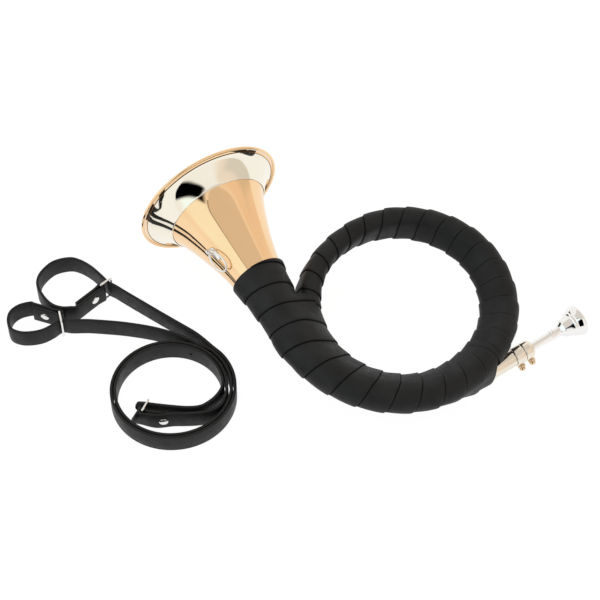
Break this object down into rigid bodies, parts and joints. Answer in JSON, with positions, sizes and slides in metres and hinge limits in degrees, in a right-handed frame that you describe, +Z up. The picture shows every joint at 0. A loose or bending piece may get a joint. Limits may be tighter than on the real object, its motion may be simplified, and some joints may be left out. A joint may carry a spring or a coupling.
{
  "type": "hunting horn",
  "caption": "Leather-wrapped brass hunting horn with a coiled conical tube, flared bell, tuning slide and mouthpiece, lying beside its carrying strap.",
  "frame": {"origin": "middle of the footprint of the horn and its strap, on the floor they lie on", "axes": "+Z up from the floor; +X from the strap to the mouthpiece, along the longest extent; +Y toward the bell's side"},
  "size_m": [0.4442, 0.2232, 0.1157],
  "materials": {
    "gold_brass": "lacquered gold brass, polished",
    "nickel_silver": "polished nickel silver, pale and slightly warm",
    "silver_plate": "bright silver plate",
    "raw_brass": "bare reddish brass, brushed",
    "black_leather": "black smooth leather, satin"
  },
  "bodies": {
    "horn": {"bell": "gold_brass", "bell_ferrule": "gold_brass", "bell_garland": "nickel_silver", "clamp_collar": "nickel_silver", "coil_tube": "gold_brass", "lead_ferrule": "gold_brass", "length_rivet": "silver_plate", "length_slider": "silver_plate", "long_strap": "black_leather", "lower_wrap": "black_leather", "noose_rivet_1": "silver_plate", "noose_rivet_2": "silver_plate", "noose_slider_1": "silver_plate", "noose_slider_2": "silver_plate", "rim_wire": "gold_brass", "ring_lug": "silver_plate", "short_strap": "black_leather", "slide_sleeve": "nickel_silver", "upper_wrap": "black_leather"},
    "tuning_slide": {"slide_tube": "nickel_silver", "receiver_collar": "nickel_silver"},
    "mouthpiece": {"mouthpiece": "silver_plate"},
    "strap_ring": {"strap_ring": "silver_plate"},
    "clamp_screw": {"clamp_screw_shank": "raw_brass"},
    "clamp_knob": {"clamp_screw_head": "raw_brass"},
    "receiver_screw": {"receiver_screw_shank": "raw_brass"},
    "receiver_knob": {"receiver_screw_head": "raw_brass"}
  },
  "joints": [
    {"name": "tuning_slide_draw", "type": "slide", "parent": "horn", "child": "tuning_slide", "axis": [0.8373, 0.5448, 0.0461], "range_m": [0, 0.02]},
    {"name": "mouthpiece_pull", "type": "slide", "parent": "tuning_slide", "child": "mouthpiece", "axis": [0.8373, 0.5448, 0.0461], "range_m": [0, 0.022]},
    {"name": "strap_ring_swing", "type": "hinge", "parent": "horn", "child": "strap_ring", "pos_m": [-0.06649, 0.02365, 0.06482], "axis": [-0.44, -0.1226, -0.8896], "range_deg": [0, 140]},
    {"name": "clamp_screw_advance", "type": "slide", "parent": "horn", "child": "clamp_screw", "axis": [0.3657, -0.4952, -0.7881], "range_m": [0, 0.001]},
    {"name": "clamp_screw_turn", "type": "hinge", "parent": "clamp_screw", "child": "clamp_knob", "pos_m": [0.16688, -0.03378, 0.01112], "axis": [0.3657, -0.4952, -0.7881], "range_deg": [0, 720]},
    {"name": "receiver_screw_advance", "type": "slide", "parent": "tuning_slide", "child": "receiver_screw", "axis": [0.3657, -0.4952, -0.7881], "range_m": [0, 0.001]},
    {"name": "receiver_screw_turn", "type": "hinge", "parent": "receiver_screw", "child": "receiver_knob", "pos_m": [0.17478, -0.02864, 0.01156], "axis": [0.3657, -0.4952, -0.7881], "range_deg": [0, 720]}
  ],
  "couplings": [
    {"joint": "clamp_screw_turn", "follows": "clamp_screw_advance", "rad_per_m": 12566},
    {"joint": "receiver_screw_turn", "follows": "receiver_screw_advance", "rad_per_m": 12566}
  ]
}
